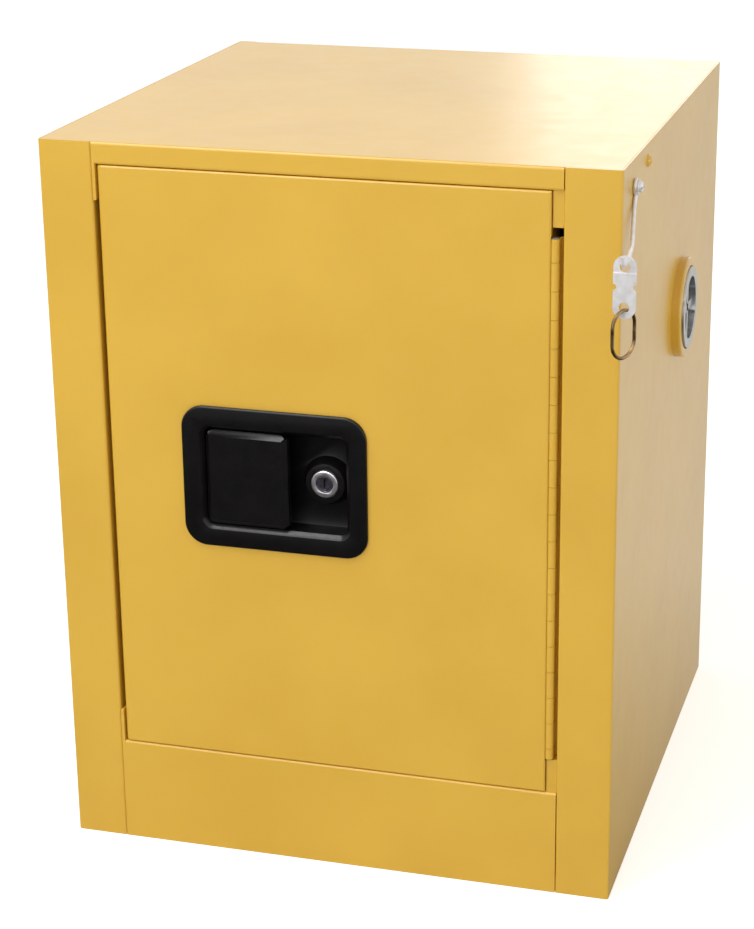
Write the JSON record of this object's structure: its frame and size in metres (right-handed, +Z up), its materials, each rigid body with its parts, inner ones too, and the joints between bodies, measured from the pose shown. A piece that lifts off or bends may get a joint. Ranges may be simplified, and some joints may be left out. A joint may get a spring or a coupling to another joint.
{
  "type": "flammable safety cabinet",
  "caption": "Small double-walled steel safety cabinet for flammable liquids: hinged door with paddle latch and lock, sump, lift-out shelf, plugged vents and a hanging fusible link.",
  "frame": {"origin": "centre of the base's underside", "axes": "+Z up, +X to the right seen from the front, +Y towards the back; the door faces -Y"},
  "size_m": [0.452, 0.4713, 0.56],
  "materials": {
    "yellow_paint": "gloss",
    "zinc_steel": "zinc plated",
    "plain_steel": "plain",
    "black_plastic": "satin",
    "bright_chrome": "polished",
    "ring_brass": "dull",
    "gasket_rubber": "matte"
  },
  "bodies": {
    "cabinet": {"outer_left_side": "yellow_paint", "outer_right_side": "yellow_paint", "outer_top": "yellow_paint", "bottom_rail": "yellow_paint", "outer_back": "yellow_paint", "outer_base": "yellow_paint", "liner_left": "yellow_paint", "liner_right": "yellow_paint", "liner_top": "yellow_paint", "liner_back": "yellow_paint", "sump_tray": "yellow_paint", "floor_bearers": "zinc_steel", "shelf_clips": "zinc_steel", "strike_plate": "zinc_steel", "hinge_frame_leaf": "yellow_paint", "hinge_pin": "zinc_steel", "right_vent_duct": "yellow_paint", "left_vent_duct": "yellow_paint", "right_flame_screen": "plain_steel", "left_flame_screen": "plain_steel", "link_arm": "zinc_steel", "anchor_screw": "zinc_steel", "side_dome": "yellow_paint", "earth_stud": "zinc_steel", "earth_nuts": "zinc_steel"},
    "shelf_pan": {"shelf": "plain_steel"},
    "door": {"door_skin": "yellow_paint", "door_inner_pan": "yellow_paint", "door_upper_stiffener": "plain_steel", "door_lower_stiffener": "plain_steel", "hinge_door_leaf": "yellow_paint", "latch_pan": "black_plastic", "latch_clamp": "zinc_steel", "latch_nuts": "zinc_steel", "latch_case": "zinc_steel", "paddle_pin": "plain_steel", "bolt_spring": "plain_steel", "bolt_guide": "zinc_steel", "lock_barrel": "bright_chrome", "lock_nut": "zinc_steel"},
    "paddle_body": {"paddle": "black_plastic"},
    "bolt": {"latch_bolt": "zinc_steel"},
    "lock": {"lock_plug": "bright_chrome", "lock_cam": "zinc_steel"},
    "right_gasket": {"right_vent_gasket": "gasket_rubber"},
    "right_plug": {"right_vent_plug": "zinc_steel"},
    "left_gasket": {"left_vent_gasket": "gasket_rubber"},
    "left_plug": {"left_vent_plug": "zinc_steel"},
    "link": {"link_upper_plate": "zinc_steel", "link_lower_plate": "zinc_steel"},
    "ring": {"link_ring": "ring_brass"}
  },
  "joints": [
    {"name": "door_hinge", "type": "hinge", "parent": "cabinet", "child": "door", "pos_m": [0.1676, -0.2115, 0.31], "axis": [0, 0, 1], "range_deg": [0, 115]},
    {"name": "shelf_lift", "type": "slide", "parent": "cabinet", "child": "shelf_pan", "axis": [0, 0, 1], "range_m": [0, 0.012]},
    {"name": "paddle_pull", "type": "hinge", "parent": "door", "child": "paddle_body", "pos_m": [-0.087, -0.212, 0.313], "axis": [0, 0, -1], "range_deg": [0, 28], "stiffness_Nm_per_rad": 0.25, "springref_deg": -22.92},
    {"name": "bolt_slide", "type": "slide", "parent": "door", "child": "bolt", "axis": [1, 0, 0], "range_m": [0, 0.0122], "deforming": ["bolt_spring"]},
    {"name": "lock_turn", "type": "hinge", "parent": "door", "child": "lock", "pos_m": [-0.0047, -0.2065, 0.3107], "axis": [0, 1, 0], "range_deg": [-90, 0]},
    {"name": "right_vent_travel", "type": "slide", "parent": "cabinet", "child": "right_gasket", "axis": [1, 0, 0], "range_m": [0, 0.0066]},
    {"name": "right_vent_turn", "type": "hinge", "parent": "right_gasket", "child": "right_plug", "pos_m": [0.215, 0.038, 0.394], "axis": [1, 0, 0], "range_deg": [0, 1080]},
    {"name": "left_vent_travel", "type": "slide", "parent": "cabinet", "child": "left_gasket", "axis": [-1, 0, 0], "range_m": [0, 0.0066]},
    {"name": "left_vent_turn", "type": "hinge", "parent": "left_gasket", "child": "left_plug", "pos_m": [-0.215, 0.038, 0.15], "axis": [-1, 0, 0], "range_deg": [0, 1080]},
    {"name": "link_swing", "type": "hinge", "parent": "cabinet", "child": "link", "pos_m": [0.22, -0.23, 0.49895], "axis": [0, 1, 0], "range_deg": [-35, 15]},
    {"name": "ring_swing", "type": "hinge", "parent": "link", "child": "ring", "pos_m": [0.22, -0.2304, 0.46665], "axis": [0.5, 0.866, 0], "range_deg": [-15, 15]}
  ],
  "couplings": [
    {"joint": "bolt_slide", "follows": "paddle_pull", "m_per_rad": 0.02475},
    {"joint": "right_vent_travel", "follows": "right_vent_turn", "m_per_rad": 0.00035},
    {"joint": "left_vent_travel", "follows": "left_vent_turn", "m_per_rad": 0.00035}
  ]
}
